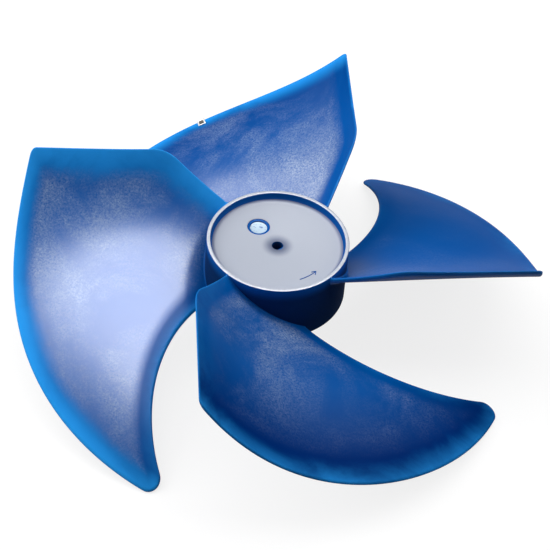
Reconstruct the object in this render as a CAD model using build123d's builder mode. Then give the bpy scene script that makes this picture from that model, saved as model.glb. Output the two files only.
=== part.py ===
"""Axial fan of a heat pump outdoor unit: a one-piece moulded fan and its balance clip.

Millimetres, +Z towards the front, which is the side that faces the weather.
The origin is on the shaft axis, at the rear end of the shaft boss.
"""

import math
import os

from build123d import *

# Hub: a cup with a recessed front plate, open at the rear
HUB_RADIUS = 50.2
HUB_DRAFT = 0.6
HUB_HEIGHT = 46.4
HUB_WALL = 2.8
RECESS_DEPTH = 6.0
RECESS_FILLET = 4.0
PLATE_THICKNESS = 3.0
RIM_EDGE_BREAK = 0.6

# Shaft boss with a D bore at the front and a round pilot bore behind it
BOSS_RADIUS = 11.0
BOSS_SETBACK = 8.0
SHAFT_BORE_RADIUS = 4.0
SHAFT_FLAT_DISTANCE = 3.0
SHAFT_FLAT_ANGLE = -45.0
PILOT_BORE_RADIUS = 4.25
PILOT_LENGTH = 16.0

# Ribs between the boss and the hub wall
RIB_COUNT = 8
RIB_THICKNESS = 2.0
RIB_SETBACK = 3.0
RIB_TURN = 15.0

# Round mould insert seat, sunk in two steps into the front plate
INSERT_RADIUS = 8.0
INSERT_STEP = 0.6
INSERT_CORE_RADIUS = 6.0
INSERT_DEPTH = 1.4
INSERT_DISTANCE = 22.5
INSERT_ANGLE = 130.0

# Blade outline seen along the axis: radii and angles from the blade's own datum line
BLADE_COUNT = 4
BLADE_DATUM = -90.0
TIP_RADIUS = 182.5
TIP_CROWN_ANGLE = 0.4
TRAILING_HUB_ANGLE = -43.4
TRAILING_BEND_RADIUS = 97.6
TRAILING_BEND_ANGLE = -31.1
TRAILING_BEND_ROUND = 38.0
TRAILING_TIP_ANGLE = -12.4
TRAILING_TIP_INSET = 1.5
TRAILING_CORNER = 5.0
LEADING_HUB_ANGLE = 27.6
LEADING_MID_ANGLE = 50.7
LEADING_TIP_ANGLE = 71.9
LEADING_TIP_INSET = 5.8
LEADING_CORNER = 8.0

# Blade sections, unrolled at the hub, mid-span and tip; heights count from the hub's rim
FOOT_ANGLES = (29.0, 69.0)
FOOT_HEIGHTS = (-40.9, -50.9, -88.8)
SECTION_CHORDS = (86.8, 148.2, 257.2)
SECTION_STRAIGHTNESS = (0.742, 0.615)
SECTION_POWER = 5.7
TRAILING_HEIGHT = 27.8
BLADE_ROOT_THICKNESS = 3.4
BLADE_TIP_THICKNESS = 2.4
BLADE_EDGE_BREAK = 0.6
BLADE_ROOT_FLARE = 1.2
BLADE_ROOT_REACH = 2.2

# Balance clip: a spring steel strip bent over one tip edge
CLIP_BLADE = 2
CLIP_POSITION = 0.41
CLIP_WIDTH = 6.0
CLIP_LEG = 8.5
CLIP_STRIP = 0.6
CLIP_CLEARANCE = 0.25
CLIP_BEND_ROUND = 0.9
CLIP_DIMPLE_MARGIN = 1.2
CLIP_DIMPLE_DEPTH = 0.25

# Heights that follow from the sizes above
rim_height = HUB_HEIGHT - BOSS_SETBACK
plate_front = rim_height - RECESS_DEPTH
plate_rear = plate_front - PLATE_THICKNESS
rim_radius = HUB_RADIUS - HUB_HEIGHT * math.tan(math.radians(HUB_DRAFT))
mid_radius = (HUB_RADIUS + TIP_RADIUS) / 2

# The blades start inside the hub wall, so that wall and blade share solid material
root_radius = rim_radius - HUB_WALL / 2


def polar(radius, angle):
    """Point of the blade outline, with the angle counted from the blade's datum line."""
    turn = math.radians(BLADE_DATUM + angle)
    return (radius * math.cos(turn), radius * math.sin(turn))


def from_hub_to_tip(values, radius):
    """Straight line through the values at the hub and the tip."""
    share = (radius - HUB_RADIUS) / (TIP_RADIUS - HUB_RADIUS)
    return values[0] + (values[1] - values[0]) * share


def along_span(values, radius):
    """Parabola through the values at the hub, mid-span and tip."""
    hub, mid, tip = values
    share = (radius - HUB_RADIUS) / (TIP_RADIUS - HUB_RADIUS)
    return hub * (1 - share) * (1 - 2 * share) + 4 * mid * share * (1 - share) + tip * share * (2 * share - 1)


def section_rise(radius, reach):
    """Height above the section's foot and its slope, with reach 0 at the foot and 1 at the trailing height."""
    rise = TRAILING_HEIGHT - along_span(FOOT_HEIGHTS, radius)
    even = from_hub_to_tip(SECTION_STRAIGHTNESS, radius)
    curl = math.copysign(abs(reach) ** SECTION_POWER, reach)
    height = rise * (even * reach + (1 - even) * curl)
    steepness = even + (1 - even) * SECTION_POWER * abs(reach) ** (SECTION_POWER - 1)
    return height, rise * steepness / along_span(SECTION_CHORDS, radius)


def camber(radius, angle):
    """Height and slope of the blade's middle surface at a radius and an angle from the datum line."""
    run = math.radians(from_hub_to_tip(FOOT_ANGLES, radius) - angle) * radius
    height, slope = section_rise(radius, run / along_span(SECTION_CHORDS, radius))
    return rim_height + along_span(FOOT_HEIGHTS, radius) + height, slope


def half_thickness(radius):
    """Half the blade's thickness, which flares out into the hub wall like a fillet."""
    flare = BLADE_ROOT_FLARE * math.exp((HUB_RADIUS - radius) / BLADE_ROOT_REACH)
    return from_hub_to_tip((BLADE_ROOT_THICKNESS, BLADE_TIP_THICKNESS), radius) / 2 + flare


def skin_point(radius, angle, side):
    """Point of the front (side 1) or rear (side -1) skin."""
    height, slope = camber(radius, angle)
    return (*polar(radius, angle), height + side * half_thickness(radius) * math.hypot(1, slope))


def spaced(ends, count, crowding=1):
    """Values between two ends, crowded towards the first one by a power above 1."""
    return [ends[0] + (ends[1] - ends[0]) * (i / (count - 1)) ** crowding for i in range(count)]


def skin(side, rows=16, columns=18, margin=6.0, tolerance=0.02):
    """Smooth face through the sections, which reaches past the outline on every side."""
    points = []
    for radius in spaced((root_radius - HUB_WALL / 4, TIP_RADIUS * 1.04), rows, crowding=2):
        trailing = from_hub_to_tip((TRAILING_HUB_ANGLE, TRAILING_TIP_ANGLE), radius) - margin
        leading = from_hub_to_tip((LEADING_HUB_ANGLE, LEADING_TIP_ANGLE), radius) + margin
        points.append([skin_point(radius, angle, side) for angle in spaced((trailing, leading), columns)])
    return Face.make_surface_from_array_of_points(points, tol=tolerance, min_deg=3, max_deg=5)


# One blade: its outline as a prism, trimmed by the two skins
inner_radius = root_radius - HUB_WALL / 2
trailing_hub = polar(inner_radius, TRAILING_HUB_ANGLE)
trailing_bend = polar(TRAILING_BEND_RADIUS, TRAILING_BEND_ANGLE)
trailing_tip = polar(TIP_RADIUS - TRAILING_TIP_INSET, TRAILING_TIP_ANGLE)
leading_tip = polar(TIP_RADIUS - LEADING_TIP_INSET, LEADING_TIP_ANGLE)
leading_hub = polar(inner_radius, LEADING_HUB_ANGLE)
outline_low = rim_height + 2 * min(FOOT_HEIGHTS)
outline_high = rim_height + 2 * TRAILING_HEIGHT

with BuildPart() as blade:
    with BuildSketch(Plane.XY.offset(outline_low)) as outline:
        with BuildLine():
            Line(trailing_hub, trailing_bend)
            Line(trailing_bend, trailing_tip)
            tip_line = ThreePointArc(trailing_tip, polar(TIP_RADIUS, TIP_CROWN_ANGLE), leading_tip)
            ThreePointArc(leading_tip, polar(mid_radius, LEADING_MID_ANGLE), leading_hub)
            Line(leading_hub, trailing_hub)
        make_face()
        for corner, size in (
            (trailing_bend, TRAILING_BEND_ROUND),
            (trailing_tip, TRAILING_CORNER),
            (leading_tip, LEADING_CORNER),
        ):
            fillet(outline.vertices().sort_by_distance((*corner, outline_low))[0], size)
        Circle(root_radius, mode=Mode.SUBTRACT)
    extrude(amount=outline_high - outline_low)
    split(bisect_by=skin(1), keep=Keep.BOTTOM)
    split(bisect_by=skin(-1), keep=Keep.TOP)
    root_face = blade.faces().sort_by(lambda face: math.hypot(face.center().X, face.center().Y))[0]
    skins = blade.faces().sort_by(SortBy.AREA)[-2:]
    free_edges = [edge for face in skins for edge in face.edges() if edge not in root_face.edges()]
    chamfer(free_edges, BLADE_EDGE_BREAK)

# The moulding: hub cup, boss, ribs, bores and the blades around it
between_blades = BLADE_DATUM + (LEADING_HUB_ANGLE + TRAILING_HUB_ANGLE + 360 / BLADE_COUNT) / 2
hub_seam = Plane.XZ.rotated((0, 0, between_blades))

with BuildPart() as fan_moulding:
    with BuildSketch(hub_seam):
        with BuildLine():
            Polyline(
                (0, plate_front),
                (rim_radius - HUB_WALL, plate_front),
                (rim_radius - HUB_WALL, rim_height),
                (rim_radius, rim_height),
                (HUB_RADIUS, -BOSS_SETBACK),
                (HUB_RADIUS - HUB_WALL, -BOSS_SETBACK),
                (rim_radius - HUB_WALL, plate_rear),
                (BOSS_RADIUS, plate_rear),
                (BOSS_RADIUS, 0),
                (0, 0),
                close=True,
            )
        make_face()
    revolve(axis=Axis.Z)
    plate = fan_moulding.faces().filter_by(Plane.XY).sort_by(Axis.Z)[-2]
    fillet(plate.edges(), RECESS_FILLET)
    rim = fan_moulding.faces().filter_by(Plane.XY).sort_by(Axis.Z)[-1]
    chamfer(rim.edges(), RIM_EDGE_BREAK)
    with BuildSketch(Plane.XY.offset(RIB_SETBACK)):
        with PolarLocations((BOSS_RADIUS + HUB_RADIUS - HUB_WALL) / 2, RIB_COUNT, start_angle=RIB_TURN):
            Rectangle(HUB_RADIUS - BOSS_RADIUS, RIB_THICKNESS)
    extrude(amount=plate_front - PLATE_THICKNESS / 2 - RIB_SETBACK)
    with BuildSketch(Plane.XY):
        Circle(PILOT_BORE_RADIUS)
    extrude(amount=PILOT_LENGTH, mode=Mode.SUBTRACT)
    with BuildSketch(Plane.XY.offset(PILOT_LENGTH).rotated((0, 0, SHAFT_FLAT_ANGLE))):
        Circle(SHAFT_BORE_RADIUS)
        with Locations((SHAFT_FLAT_DISTANCE + SHAFT_BORE_RADIUS, 0)):
            Rectangle(2 * SHAFT_BORE_RADIUS, 2 * SHAFT_BORE_RADIUS, mode=Mode.SUBTRACT)
    extrude(amount=plate_front - PILOT_LENGTH, mode=Mode.SUBTRACT)
    with Locations((0, 0, plate_front)):
        with PolarLocations(INSERT_DISTANCE, 1, start_angle=INSERT_ANGLE):
            CounterBoreHole(INSERT_CORE_RADIUS, INSERT_RADIUS, INSERT_STEP, depth=INSERT_DEPTH)
    with PolarLocations(0, BLADE_COUNT):
        add(blade.part)
fan_moulding.part.label = "fan_moulding"

# Balance clip: a U bent over the tip edge, with a shallow dimple pressed into its front leg
def on_clip_blade(point):
    """Point of the middle surface above a point of the outline, turned to the blade that has the clip."""
    radius = math.hypot(point.X, point.Y)
    angle = math.degrees(math.atan2(point.Y, point.X)) - BLADE_DATUM
    height, _ = camber(radius, angle)
    return Vector(point.X, point.Y, height).rotate(Axis.Z, CLIP_BLADE * 360 / BLADE_COUNT)


tip_edge = on_clip_blade(tip_line @ CLIP_POSITION)
beside = on_clip_blade(tip_line @ (CLIP_POSITION - CLIP_WIDTH / tip_line.length))
inboard = on_clip_blade((tip_line @ CLIP_POSITION) * (1 - CLIP_LEG / TIP_RADIUS))
clip_plane = Plane(origin=tip_edge, x_dir=tip_edge - inboard, z_dir=beside - tip_edge)
slot_height = BLADE_TIP_THICKNESS + 2 * CLIP_CLEARANCE
clip_height = slot_height + 2 * CLIP_STRIP
leg_middle = (CLIP_CLEARANCE - CLIP_LEG) / 2
front_leg = Plane(
    origin=clip_plane.from_local_coords((leg_middle, clip_height / 2, 0)),
    x_dir=clip_plane.x_dir,
    z_dir=clip_plane.y_dir,
)

with BuildPart() as balance_clip:
    with BuildSketch(clip_plane) as clip_profile:
        with Locations((leg_middle + CLIP_STRIP / 2, 0)):
            Rectangle(CLIP_LEG + CLIP_CLEARANCE + CLIP_STRIP, clip_height)
        fillet(clip_profile.vertices().sort_by(clip_plane.location.x_axis)[-2:], CLIP_BEND_ROUND)
        with Locations((leg_middle, 0)):
            Rectangle(CLIP_LEG + CLIP_CLEARANCE, slot_height, mode=Mode.SUBTRACT)
    extrude(amount=CLIP_WIDTH / 2, both=True)
    with BuildSketch(front_leg):
        Rectangle(CLIP_LEG - 2 * CLIP_DIMPLE_MARGIN, CLIP_WIDTH - 2 * CLIP_DIMPLE_MARGIN)
    extrude(amount=-CLIP_DIMPLE_DEPTH, mode=Mode.SUBTRACT)
balance_clip.part.label = "balance_clip"

os.makedirs("parts", exist_ok=True)
for piece in (fan_moulding.part, balance_clip.part):
    export_step(piece, f"parts/{piece.label}.step")
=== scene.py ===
"""Looks of a moulded axial fan: blades, hub, balance clip and turning sign on a plain stage.

Metres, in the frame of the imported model: +Z runs along the shaft towards the front.
"""

import math

import bmesh
import bpy
import numpy as np
from mathutils import Matrix, Vector


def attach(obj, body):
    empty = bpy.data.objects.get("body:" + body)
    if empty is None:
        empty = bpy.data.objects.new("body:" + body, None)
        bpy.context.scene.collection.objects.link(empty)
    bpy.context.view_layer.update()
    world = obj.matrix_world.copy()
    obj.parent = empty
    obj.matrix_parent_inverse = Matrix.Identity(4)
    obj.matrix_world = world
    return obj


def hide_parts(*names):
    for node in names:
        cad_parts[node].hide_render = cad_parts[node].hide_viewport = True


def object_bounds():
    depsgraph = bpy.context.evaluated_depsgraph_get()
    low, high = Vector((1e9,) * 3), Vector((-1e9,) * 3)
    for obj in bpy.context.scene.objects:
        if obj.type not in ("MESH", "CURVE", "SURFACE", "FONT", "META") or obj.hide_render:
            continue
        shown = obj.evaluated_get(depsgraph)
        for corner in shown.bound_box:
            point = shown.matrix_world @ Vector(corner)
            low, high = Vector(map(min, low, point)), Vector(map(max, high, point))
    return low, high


bl_info = {
    "name": "Axial fan",
    "version": (1, 0, 0),
    "blender": (4, 5, 0),
    "location": "3D View > Sidebar > Fan",
    "description": "Builds the looks of a moulded axial fan around its packed model",
    "category": "Object",
}

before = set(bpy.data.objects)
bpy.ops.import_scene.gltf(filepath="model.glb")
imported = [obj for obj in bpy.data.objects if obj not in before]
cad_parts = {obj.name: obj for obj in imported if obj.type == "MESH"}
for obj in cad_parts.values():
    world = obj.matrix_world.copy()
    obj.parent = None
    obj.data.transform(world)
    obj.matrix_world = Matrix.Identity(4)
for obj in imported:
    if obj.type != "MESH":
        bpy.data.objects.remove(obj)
CAD_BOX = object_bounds()
BODY = "root"
BLUE_PLASTIC = "Blue moulded plastic"
SHARP_ANGLE = math.radians(38)  # Hub edges sharper than this stay crisp
LEVEL = 0.0001  # Two heights closer than this count as level
ROW_EASE = 0.75  # How much closer a blade's rows lie at the hub and the tip
COLUMN_EASE = 0.6  # How much closer a blade's columns lie at its edges
FULL_SHEEN = 1.2  # Painted sheen at the hub before it fades with the span and is cut off at 1
SHADE_START, SHADE_RUN = 0.48, 0.4  # Span share where the painted shade starts to darken the blade, and how far that takes
HIGHLIGHT_LEAST, HIGHLIGHT_GAIN = 0.2, 0.6  # Painted highlight line at the free edges: its least strength and its gain by the tip's painted backlight
BARB_LEAN = 0.55  # Angle in radians between the arrow's line and each barb
LAMPS = (
    # Name, azimuth and elevation in degrees, distance and sides in metres, watts, and if it lights diffusely
    ("Overhead softbox", 90, 82, 1.2, (1.6, 0.95), 12.5, True),
    ("Left key", 165, 31, 2.0, (1.75, 1.6), 38.0, True),
    ("Front left fill", 235, 35, 1.6, (1.0, 1.0), 2.0, True),
    ("Right fill", 10, 35, 1.6, (1.0, 1.0), 7.0, True),
    ("Overhead sheen", 80, 78, 1.19, (1.6, 0.92), 60.0, False),
)


class FanHubSettings(bpy.types.PropertyGroup):
    """Sizes of the hub cup, its boss, ribs and insert seat."""

    radius: bpy.props.FloatProperty(
        name="Radius", description="Outer radius of the hub at its rear end", default=0.0502, unit="LENGTH"
    )
    draft: bpy.props.FloatProperty(
        name="Draft", description="Taper of the outer wall", default=math.radians(0.6), subtype="ANGLE"
    )
    rear: bpy.props.FloatProperty(
        name="Rear end", description="Height of the hub's rear end", default=-0.008, unit="LENGTH"
    )
    rim: bpy.props.FloatProperty(
        name="Rim", description="Height of the front rim", default=0.0384, unit="LENGTH"
    )
    wall: bpy.props.FloatProperty(
        name="Wall", description="Thickness of the outer wall", default=0.0028, unit="LENGTH"
    )
    edge_round: bpy.props.FloatProperty(
        name="Edge round", description="Round on the rim and the rear end", default=0.0007, unit="LENGTH"
    )
    recess_depth: bpy.props.FloatProperty(
        name="Recess depth", description="Depth of the front face below the rim", default=0.006, unit="LENGTH"
    )
    recess_fillet: bpy.props.FloatProperty(
        name="Recess fillet", description="Fillet between front face and rim", default=0.004, unit="LENGTH"
    )
    plate: bpy.props.FloatProperty(
        name="Plate", description="Thickness of the front plate", default=0.003, unit="LENGTH"
    )
    boss_radius: bpy.props.FloatProperty(
        name="Boss radius", description="Outer radius of the shaft boss", default=0.011, unit="LENGTH"
    )
    bore_radius: bpy.props.FloatProperty(
        name="Bore radius", description="Radius of the D bore", default=0.004, unit="LENGTH"
    )
    bore_flat: bpy.props.FloatProperty(
        name="Bore flat", description="Distance of the D bore's flat from the axis", default=0.003, unit="LENGTH"
    )
    bore_turn: bpy.props.FloatProperty(
        name="Bore turn", description="Direction of the flat", default=math.radians(-45), subtype="ANGLE"
    )
    pilot_radius: bpy.props.FloatProperty(
        name="Pilot radius", description="Radius of the round bore behind the D bore", default=0.00425, unit="LENGTH"
    )
    pilot_length: bpy.props.FloatProperty(
        name="Pilot length", description="Length of the round bore", default=0.016, unit="LENGTH"
    )
    rib_count: bpy.props.IntProperty(name="Ribs", description="Ribs behind the front plate", default=8)
    rib_thickness: bpy.props.FloatProperty(
        name="Rib thickness", description="Thickness of a rib at its root", default=0.002, unit="LENGTH"
    )
    rib_rear: bpy.props.FloatProperty(
        name="Rib rear edge", description="Height of the ribs' rear edges", default=0.003, unit="LENGTH"
    )
    rib_turn: bpy.props.FloatProperty(
        name="Rib turn", description="Direction of the first rib", default=math.radians(15), subtype="ANGLE"
    )
    insert_radii: bpy.props.FloatVectorProperty(
        name="Insert radii", description="Outer and inner radius of the insert seat", size=2,
        default=(0.008, 0.006), unit="LENGTH",
    )
    insert_depths: bpy.props.FloatVectorProperty(
        name="Insert depths", description="Depths of the insert seat's two steps", size=2,
        default=(0.0006, 0.0014), unit="LENGTH",
    )
    insert_distance: bpy.props.FloatProperty(
        name="Insert distance", description="Distance of the insert seat from the axis", default=0.0225, unit="LENGTH"
    )
    insert_turn: bpy.props.FloatProperty(
        name="Insert turn", description="Direction of the insert seat", default=math.radians(130), subtype="ANGLE"
    )


class FanBladeSettings(bpy.types.PropertyGroup):
    """Outline and sections of a blade. Angles count from the blade's own datum line."""

    count: bpy.props.IntProperty(name="Blades", description="Blades around the hub", default=4)
    datum: bpy.props.FloatProperty(
        name="Datum", description="Direction of the first blade's datum line", default=math.radians(-90),
        subtype="ANGLE",
    )
    tip_radius: bpy.props.FloatProperty(
        name="Tip radius", description="Radius of the blade circle", default=0.1825, unit="LENGTH"
    )
    crown: bpy.props.FloatProperty(
        name="Crown", description="Angle at which the tip line touches the blade circle",
        default=math.radians(0.4), subtype="ANGLE",
    )
    trailing_angles: bpy.props.FloatVectorProperty(
        name="Trailing angles", description="Trailing edge at the hub, its bend and the tip", size=3,
        default=[math.radians(a) for a in (-43.4, -31.1, -12.4)], unit="ROTATION",
    )
    bend_radius: bpy.props.FloatProperty(
        name="Bend radius", description="Distance of the trailing edge's bend from the axis", default=0.0976,
        unit="LENGTH",
    )
    leading_angles: bpy.props.FloatVectorProperty(
        name="Leading angles", description="Leading edge at the hub, mid-span and the tip", size=3,
        default=[math.radians(a) for a in (27.6, 50.7, 71.9)], unit="ROTATION",
    )
    tip_insets: bpy.props.FloatVectorProperty(
        name="Tip insets", description="How far the trailing and leading tip corners lie inside the blade circle",
        size=2, default=(0.0015, 0.0058), unit="LENGTH",
    )
    corner_rounds: bpy.props.FloatVectorProperty(
        name="Corner rounds", description="Rounds of the bend, the trailing corner and the leading corner", size=3,
        default=(0.038, 0.005, 0.008), unit="LENGTH",
    )
    foot_angles: bpy.props.FloatVectorProperty(
        name="Foot angles", description="Foot of the sections at the hub and the tip", size=2,
        default=[math.radians(a) for a in (29.0, 69.0)], unit="ROTATION",
    )
    foot_drops: bpy.props.FloatVectorProperty(
        name="Foot drops", description="Foot of the sections below the rim at the hub, mid-span and tip", size=3,
        default=(0.0409, 0.0509, 0.0888), unit="LENGTH",
    )
    chords: bpy.props.FloatVectorProperty(
        name="Chords", description="Unrolled chord of the sections at the hub, mid-span and tip", size=3,
        default=(0.0868, 0.1482, 0.2572), unit="LENGTH",
    )
    straightness: bpy.props.FloatVectorProperty(
        name="Straightness", description="Straight share of the sections at the hub and the tip", size=2,
        default=(0.742, 0.615),
    )
    curl_power: bpy.props.FloatProperty(
        name="Curl", description="How late a section curls up towards its trailing edge", default=5.7
    )
    trailing_rise: bpy.props.FloatProperty(
        name="Trailing rise", description="Height of a full section's end above the rim", default=0.0278,
        unit="LENGTH",
    )
    thickness: bpy.props.FloatVectorProperty(
        name="Thickness", description="Blade thickness at the hub and the tip", size=2,
        default=(0.0034, 0.0024), unit="LENGTH",
    )
    edge_round: bpy.props.FloatProperty(
        name="Edge round", description="Depth of the round on the free edges", default=0.0012, unit="LENGTH"
    )
    root_fillet: bpy.props.FloatProperty(
        name="Root fillet", description="Fillet between a blade and the hub", default=0.0011, unit="LENGTH"
    )
    # Painted backlight: bands along the free edges stand in for lamp light coming through the thin plastic, set per
    # blade by how the lamps fall on it
    backlight_band: bpy.props.FloatProperty(
        name="Edge band", description="Width of the clearer band along the thin free edges", default=0.019,
        unit="LENGTH",
    )
    trailing_backlight: bpy.props.FloatVectorProperty(
        name="Trailing clarity", description="How clear the trailing edge's band is on each blade", size=4,
        default=(0.3, 0.15, 0.15, 0.9),
    )
    tip_backlight: bpy.props.FloatVectorProperty(
        name="Tip clarity", description="How clear the tip's band is on each blade", size=4,
        default=(0.6, 0.35, 0.8, 1.0),
    )
    # Painted highlight: a thin pale line right at the free edges
    edge_highlight: bpy.props.FloatProperty(
        name="Edge line", description="Width of the clear line right at the free edges", default=0.003,
        unit="LENGTH",
    )
    # Painted sheen: a pale mottled glare inside the edge bands, set per blade by how the lamps fall on it
    sheen_margin: bpy.props.FloatProperty(
        name="Bloom margin", description="Smooth border without bloom along the edges", default=0.008,
        unit="LENGTH",
    )
    sheen_shares: bpy.props.FloatVectorProperty(
        name="Bloom shares", description="How strong the bloom is on each blade", size=4,
        default=(1.5, 0.15, 1.5, 1.2),
    )
    sheen_fades: bpy.props.FloatVectorProperty(
        name="Bloom fades", description="How fast the bloom fades towards each blade's tip", size=4,
        default=(1.35, 1.0, 0.7, 0.45),
    )
    rear_sheen: bpy.props.FloatProperty(
        name="Rear bloom", description="Share of the bloom on the blades' rear side", default=0.15
    )
    # Painted shade: the blades that face away from the lamps darken towards their tips
    shade_shares: bpy.props.FloatVectorProperty(
        name="Depth shares", description="How much deeper the pigment gets towards each blade's tip", size=4,
        default=(0.9, 0.1, 0.4, 0.0),
    )


class FanClipSettings(bpy.types.PropertyGroup):
    """Sizes of the balance clip."""

    blade: bpy.props.IntProperty(name="Blade", description="Blade that carries the clip", default=2)
    position: bpy.props.FloatProperty(
        name="Position", description="Place along the tip line, as a share of its length", default=0.41
    )
    width: bpy.props.FloatProperty(
        name="Width", description="Width of the strip", default=0.006, unit="LENGTH"
    )
    leg: bpy.props.FloatProperty(
        name="Leg", description="Length of a leg on the blade", default=0.0085, unit="LENGTH"
    )
    strip: bpy.props.FloatProperty(
        name="Strip", description="Thickness of the strip", default=0.0006, unit="LENGTH"
    )
    clearance: bpy.props.FloatProperty(
        name="Clearance", description="Gap between clip and blade", default=0.00025, unit="LENGTH"
    )
    bend: bpy.props.FloatProperty(
        name="Bend", description="Outer round of the bend", default=0.0009, unit="LENGTH"
    )
    dimple_margin: bpy.props.FloatProperty(
        name="Dimple margin", description="Border around the pressed dimple", default=0.0014, unit="LENGTH"
    )
    dimple_depth: bpy.props.FloatProperty(
        name="Dimple depth", description="Depth of the pressed dimple", default=0.00025, unit="LENGTH"
    )


class FanSignSettings(bpy.types.PropertyGroup):
    """Sizes of the raised arrow that shows the turning direction."""

    radius: bpy.props.FloatProperty(
        name="Radius", description="Distance of the arrow from the axis", default=0.0353, unit="LENGTH"
    )
    sweep: bpy.props.FloatVectorProperty(
        name="Sweep", description="Directions of the arrow's tail and head", size=2,
        default=[math.radians(a) for a in (-61.0, -38.0)], unit="ROTATION",
    )
    barb: bpy.props.FloatProperty(
        name="Barb", description="Length of the arrow's barb", default=0.0034, unit="LENGTH"
    )
    line: bpy.props.FloatProperty(
        name="Line", description="Width of the arrow's line", default=0.0007, unit="LENGTH"
    )
    height: bpy.props.FloatProperty(
        name="Height", description="Height of the arrow above the hub's face", default=0.0003, unit="LENGTH"
    )


class FanFinishSettings(bpy.types.PropertyGroup):
    """Colours of the fan's materials."""

    blue: bpy.props.FloatVectorProperty(
        name="Blue", description="Pigment of the moulding", size=3, subtype="COLOR", default=(0.0, 0.074, 0.315)
    )
    # Painted shade: the navy on the blade tips and in the hub face's fillet
    shade_navy: bpy.props.FloatVectorProperty(
        name="Navy", description="Deeper pigment towards the tips", size=3, subtype="COLOR",
        default=(0.0, 0.016, 0.125),
    )
    # Painted backlight: the azure stands in for lamp light coming through the thin edges
    backlight_azure: bpy.props.FloatVectorProperty(
        name="Azure", description="Thin edges that let light through", size=3, subtype="COLOR",
        default=(0.02, 0.300, 0.800),
    )
    # Painted sheen: the pale colour stands in for the lamps' glare on the blades
    painted_sheen: bpy.props.FloatVectorProperty(
        name="Bloom", description="Pale bloom on the moulded grain", size=3, subtype="COLOR",
        default=(0.40, 0.49, 0.62),
    )
    # Painted shade: the dark navy of the hub's outer walls, which lie in the blades' shade
    wall: bpy.props.FloatVectorProperty(
        name="Hub wall", description="Dull walls of the hub", size=3, subtype="COLOR", default=(0.0, 0.022, 0.098)
    )
    # Painted reflection: the pale grey-blue stands in for light that the hub's flat face and rim reflect
    face: bpy.props.FloatVectorProperty(
        name="Hub face", description="Polished front face of the hub", size=3, subtype="COLOR",
        default=(0.37, 0.40, 0.47),
    )
    insert: bpy.props.FloatVectorProperty(
        name="Insert", description="Bare floor of the insert seat", size=3, subtype="COLOR",
        default=(0.40, 0.53, 0.64),
    )
    steel: bpy.props.FloatVectorProperty(
        name="Steel", description="Spring steel of the clip", size=3, subtype="COLOR", default=(0.86, 0.87, 0.88)
    )
    # Painted shade: the dark floor of the clip's pressed dimple
    dimple_shade: bpy.props.FloatVectorProperty(
        name="Stamped steel", description="Dull floor of the clip's dimple", size=3, subtype="COLOR",
        default=(0.14, 0.13, 0.12),
    )


class FanStageSettings(bpy.types.PropertyGroup):
    """Camera, lamps and floor."""

    camera_distance: bpy.props.FloatProperty(
        name="Camera distance", description="From the aim point to the camera", default=1.13874, unit="LENGTH"
    )
    camera_elevation: bpy.props.FloatProperty(
        name="Camera elevation", description="Angle above the horizon", default=math.radians(45.796), subtype="ANGLE"
    )
    camera_roll: bpy.props.FloatProperty(
        name="Camera roll", description="Turn about the line of sight", default=math.radians(5.09), subtype="ANGLE"
    )
    camera_aim: bpy.props.FloatProperty(
        name="Camera aim", description="Height on the shaft axis that the camera looks at", default=0.00287,
        unit="LENGTH",
    )
    camera_lens: bpy.props.FloatProperty(name="Lens", description="Focal length in millimetres", default=105.1)
    floor_size: bpy.props.FloatProperty(
        name="Floor size", description="Side of the floor", default=16.0, unit="LENGTH"
    )
    floor_colour: bpy.props.FloatVectorProperty(
        name="Floor colour", description="Plain pale floor", size=3, subtype="COLOR", default=(0.22, 0.22, 0.22)
    )
    floor_lift: bpy.props.FloatProperty(
        name="Floor lift", description="Light that only the camera and reflections see on the floor", default=0.80
    )
    floor_fade: bpy.props.FloatVectorProperty(
        name="Floor fade", description="Distances between which the floor's lift fades out", size=2,
        default=(0.47, 0.7), unit="LENGTH",
    )
    ambient: bpy.props.FloatProperty(
        name="Ambient", description="Strength of the plain light from all sides", default=0.07
    )


def span_share(settings, radius):
    """0 at the hub's wall and 1 at the blade circle."""
    blade, hub = settings.blade, settings.hub
    return (radius - hub.radius) / (blade.tip_radius - hub.radius)


def straight(ends, share):
    """Value on the line through the values at share 0 and 1."""
    return ends[0] + (ends[1] - ends[0]) * share


def bowed(values, share):
    """Value on the parabola through the values at share 0, 0.5 and 1."""
    hub, mid, tip = values
    return hub * (1 - share) * (1 - 2 * share) + 4 * mid * share * (1 - share) + tip * share * (2 * share - 1)


def camber(settings, radius, angle):
    """Height and slope of a blade's middle surface."""
    blade = settings.blade
    share = span_share(settings, radius)
    drop, chord = bowed(blade.foot_drops, share), bowed(blade.chords, share)
    even = straight(blade.straightness, share)
    reach = (straight(blade.foot_angles, share) - angle) * radius / chord
    power = blade.curl_power
    rise = blade.trailing_rise + drop
    height = rise * (even * reach + (1 - even) * np.sign(reach) * np.abs(reach) ** power)
    slope = rise / chord * (even + (1 - even) * power * np.abs(reach) ** (power - 1))
    return settings.hub.rim - drop + height, slope


def half_thickness(settings, radius):
    """Half a blade's thickness, with the round fillet that runs out into the hub's wall."""
    blade = settings.blade
    size = blade.root_fillet
    inside = np.clip(size - (radius - settings.hub.radius), 0, size)
    fillet = size - np.sqrt(size**2 - inside**2)
    return straight(blade.thickness, span_share(settings, radius)) / 2 + fillet


def polar(radius, angle):
    """Point in plan."""
    return np.array((radius * math.cos(angle), radius * math.sin(angle)))


def arc(centre, start, end, steps):
    """Points of the shorter arc from one point to another around a centre."""
    first = math.atan2(start[1] - centre[1], start[0] - centre[0])
    last = math.atan2(end[1] - centre[1], end[0] - centre[0])
    sweep = (last - first + math.pi) % (2 * math.pi) - math.pi
    radius = np.hypot(*(start - centre))
    return [centre + polar(radius, first + sweep * i / steps) for i in range(steps + 1)]


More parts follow.
